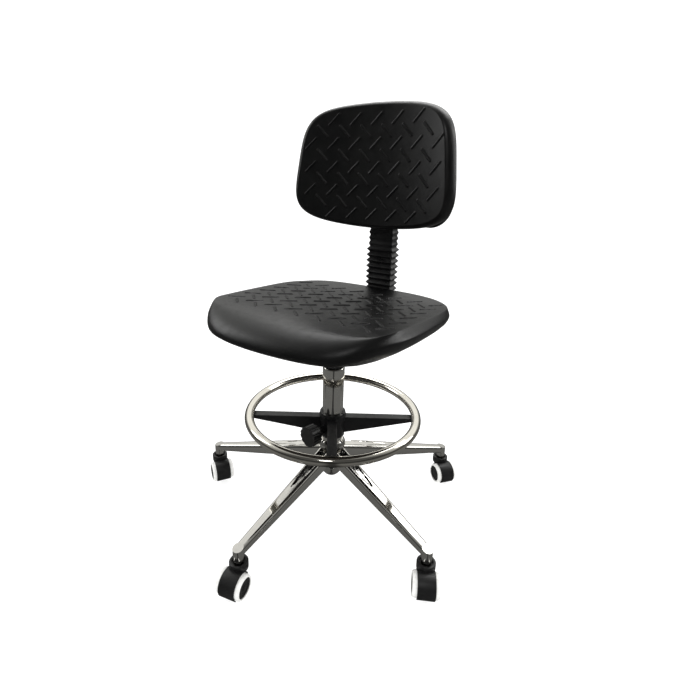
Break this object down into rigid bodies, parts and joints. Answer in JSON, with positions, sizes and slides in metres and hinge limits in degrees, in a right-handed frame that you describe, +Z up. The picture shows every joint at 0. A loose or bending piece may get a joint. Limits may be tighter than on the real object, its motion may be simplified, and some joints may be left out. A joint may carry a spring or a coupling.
{
  "type": "drafting chair",
  "caption": "Tall swivel drafting chair with a height-adjustable gas column, foot ring, star base on twin-wheel casters, ribbed moulded seat and a ribbed curved backrest.",
  "frame": {"origin": "on the floor under the column's axis", "axes": "+Z up along the column, -Y towards the seat's front, +X to the sitter's left"},
  "size_m": [0.6753, 0.6618, 0.9571],
  "materials": {
    "hub_chrome": "polished",
    "leg_chrome": "polished",
    "column_chrome": "polished",
    "ring_chrome": "polished",
    "screw_zinc": "zinc plated",
    "rod_steel": "ground",
    "bush_plastic": "matte",
    "cylinder_paint": "semi-gloss black",
    "mechanism_paint": "satin black",
    "liner_plastic": "satin black",
    "spider_plastic": "satin black",
    "knob_plastic": "satin black",
    "pad_brass": "turned",
    "ply": "black-stained plywood",
    "seat_skin": "semi-gloss moulded skin",
    "bellows_rubber": "satin black",
    "shell_plastic": "textured black",
    "hood_plastic": "satin black",
    "wheel_plastic": "black core with a pale tread"
  },
  "bodies": {
    "base": {"base_hub": "hub_chrome", "base_legs": "leg_chrome", "caster_sockets": "leg_chrome", "column_tube": "column_chrome", "column_collar": "column_chrome", "guide_bush": "bush_plastic"},
    "lift_rod": {"piston_rod": "rod_steel", "thrust_bearing": "rod_steel", "rod_clip": "screw_zinc"},
    "seat": {"gas_cylinder": "cylinder_paint", "seat_mechanism": "mechanism_paint", "lever_pin": "rod_steel", "seat_bolts": "screw_zinc", "seat_board": "ply", "tee_nuts": "screw_zinc", "seat_cushion": "seat_skin"},
    "height_lever": {"height_lever": "mechanism_paint", "lever_grip": "knob_plastic"},
    "release_pin": {"release_pin": "rod_steel"},
    "back_slide": {"back_bar": "mechanism_paint", "bellows": "bellows_rubber"},
    "depth_knob": {"depth_knob": "knob_plastic"},
    "backrest": {"back_bracket": "mechanism_paint", "back_board": "ply", "back_shell": "shell_plastic", "back_bolts": "screw_zinc", "back_cushion": "seat_skin"},
    "back_knob": {"back_knob": "knob_plastic"},
    "ring_liner": {"ring_liner": "liner_plastic"},
    "foot_ring": {"ring_spider": "spider_plastic", "foot_ring": "ring_chrome", "ring_screws": "screw_zinc"},
    "ring_clamp": {"ring_clamp_pad": "pad_brass"},
    "ring_knob": {"ring_knob_screw": "screw_zinc", "ring_knob": "knob_plastic"},
    "caster_1": {"caster_1_hood": "hood_plastic", "caster_1_stem": "rod_steel", "caster_1_axle": "rod_steel"},
    "caster_1_wheel_left": {"caster_1_wheel_left": "wheel_plastic"},
    "caster_1_wheel_right": {"caster_1_wheel_right": "wheel_plastic"},
    "caster_2": {"caster_2_hood": "hood_plastic", "caster_2_stem": "rod_steel", "caster_2_axle": "rod_steel"},
    "caster_2_wheel_left": {"caster_2_wheel_left": "wheel_plastic"},
    "caster_2_wheel_right": {"caster_2_wheel_right": "wheel_plastic"},
    "caster_3": {"caster_3_hood": "hood_plastic", "caster_3_stem": "rod_steel", "caster_3_axle": "rod_steel"},
    "caster_3_wheel_left": {"caster_3_wheel_left": "wheel_plastic"},
    "caster_3_wheel_right": {"caster_3_wheel_right": "wheel_plastic"},
    "caster_4": {"caster_4_hood": "hood_plastic", "caster_4_stem": "rod_steel", "caster_4_axle": "rod_steel"},
    "caster_4_wheel_left": {"caster_4_wheel_left": "wheel_plastic"},
    "caster_4_wheel_right": {"caster_4_wheel_right": "wheel_plastic"},
    "caster_5": {"caster_5_hood": "hood_plastic", "caster_5_stem": "rod_steel", "caster_5_axle": "rod_steel"},
    "caster_5_wheel_left": {"caster_5_wheel_left": "wheel_plastic"},
    "caster_5_wheel_right": {"caster_5_wheel_right": "wheel_plastic"}
  },
  "joints": [
    {"name": "seat_swivel", "type": "hinge", "parent": "base", "child": "lift_rod", "pos_m": [0, 0, 0.1], "axis": [0, 0, 1], "continuous": true},
    {"name": "seat_lift", "type": "slide", "parent": "lift_rod", "child": "seat", "axis": [0, 0, 1], "range_m": [0, 0.15]},
    {"name": "height_lever_turn", "type": "hinge", "parent": "seat", "child": "height_lever", "pos_m": [-0.03, 0, 0.447], "axis": [0, 1, 0], "range_deg": [0, 6], "stiffness_Nm_per_rad": 2, "springref_deg": -5.73},
    {"name": "release_pin_press", "type": "slide", "parent": "seat", "child": "release_pin", "axis": [0, 0, -1], "range_m": [0, 0.0033]},
    {"name": "back_depth", "type": "slide", "parent": "seat", "child": "back_slide", "axis": [0, 1, 0], "range_m": [0, 0.04]},
    {"name": "depth_knob_turn", "type": "hinge", "parent": "seat", "child": "depth_knob", "pos_m": [0, 0.115, 0.41], "axis": [0, 0, 1], "range_deg": [0, 360]},
    {"name": "back_height", "type": "slide", "parent": "back_slide", "child": "backrest", "axis": [0, 0, 1], "range_m": [-0.03, 0.04], "deforming": ["bellows"]},
    {"name": "back_knob_turn", "type": "hinge", "parent": "backrest", "child": "back_knob", "pos_m": [0, 0.26, 0.751], "axis": [0, 1, 0], "range_deg": [0, 360]},
    {"name": "ring_height", "type": "slide", "parent": "base", "child": "ring_liner", "axis": [0, 0, 1], "range_m": [-0.012, 0.07]},
    {"name": "ring_turn", "type": "hinge", "parent": "ring_liner", "child": "foot_ring", "pos_m": [0, 0, 0.23], "axis": [0, 0, 1], "continuous": true},
    {"name": "ring_clamp_press", "type": "slide", "parent": "foot_ring", "child": "ring_clamp", "axis": [-0.225, -0.9744, 0], "range_m": [0, 0.0026]},
    {"name": "ring_knob_turn", "type": "hinge", "parent": "ring_clamp", "child": "ring_knob", "pos_m": [-0.01575, -0.06821, 0.217], "axis": [-0.225, -0.9744, 0], "range_deg": [0, 720]},
    {"name": "caster_1_swivel", "type": "hinge", "parent": "base", "child": "caster_1", "pos_m": [0.19957, 0.2527, 0.06], "axis": [0, 0, 1], "continuous": true},
    {"name": "caster_1_wheel_left_spin", "type": "hinge", "parent": "caster_1", "child": "caster_1_wheel_left", "pos_m": [0.21617, 0.23827, 0.025], "axis": [-0.6561, -0.7547, 0], "continuous": true},
    {"name": "caster_1_wheel_right_spin", "type": "hinge", "parent": "caster_1", "child": "caster_1_wheel_right", "pos_m": [0.21617, 0.23827, 0.025], "axis": [-0.6561, -0.7547, 0], "continuous": true},
    {"name": "caster_2_swivel", "type": "hinge", "parent": "base", "child": "caster_2", "pos_m": [-0.17866, 0.26789, 0.06], "axis": [0, 0, 1], "continuous": true},
    {"name": "caster_2_wheel_left_spin", "type": "hinge", "parent": "caster_2", "child": "caster_2_wheel_left", "pos_m": [-0.16452, 0.25104, 0.025], "axis": [-0.766, -0.6428, 0], "continuous": true},
    {"name": "caster_2_wheel_right_spin", "type": "hinge", "parent": "caster_2", "child": "caster_2_wheel_right", "pos_m": [-0.16452, 0.25104, 0.025], "axis": [-0.766, -0.6428, 0], "continuous": true},
    {"name": "caster_3_swivel", "type": "hinge", "parent": "base", "child": "caster_3", "pos_m": [-0.30999, -0.08713, 0.06], "axis": [0, 0, 1], "continuous": true},
    {"name": "caster_3_wheel_left_spin", "type": "hinge", "parent": "caster_3", "child": "caster_3_wheel_left", "pos_m": [-0.29154, -0.09911, 0.025], "axis": [-0.5446, -0.8387, 0], "continuous": true},
    {"name": "caster_3_wheel_right_spin", "type": "hinge", "parent": "caster_3", "child": "caster_3_wheel_right", "pos_m": [-0.29154, -0.09911, 0.025], "axis": [-0.5446, -0.8387, 0], "continuous": true},
    {"name": "caster_4_swivel", "type": "hinge", "parent": "base", "child": "caster_4", "pos_m": [-0.01292, -0.32174, 0.06], "axis": [0, 0, 1], "continuous": true},
    {"name": "caster_4_wheel_left_spin", "type": "hinge", "parent": "caster_4", "child": "caster_4_wheel_left", "pos_m": [-0.00873, -0.34334, 0.025], "axis": [-0.9816, -0.1908, 0], "continuous": true},
    {"name": "caster_4_wheel_right_spin", "type": "hinge", "parent": "caster_4", "child": "caster_4_wheel_right", "pos_m": [-0.00873, -0.34334, 0.025], "axis": [-0.9816, -0.1908, 0], "continuous": true},
    {"name": "caster_5_swivel", "type": "hinge", "parent": "base", "child": "caster_5", "pos_m": [0.302, -0.11171, 0.06], "axis": [0, 0, 1], "continuous": true},
    {"name": "caster_5_wheel_left_spin", "type": "hinge", "parent": "caster_5", "child": "caster_5_wheel_left", "pos_m": [0.31164, -0.13149, 0.025], "axis": [-0.8988, -0.4384, 0], "continuous": true},
    {"name": "caster_5_wheel_right_spin", "type": "hinge", "parent": "caster_5", "child": "caster_5_wheel_right", "pos_m": [0.31164, -0.13149, 0.025], "axis": [-0.8988, -0.4384, 0], "continuous": true}
  ],
  "couplings": [
    {"joint": "release_pin_press", "follows": "height_lever_turn", "m_per_rad": 0.03},
    {"joint": "ring_clamp_press", "follows": "ring_knob_turn", "m_per_rad": 0.000199}
  ]
}
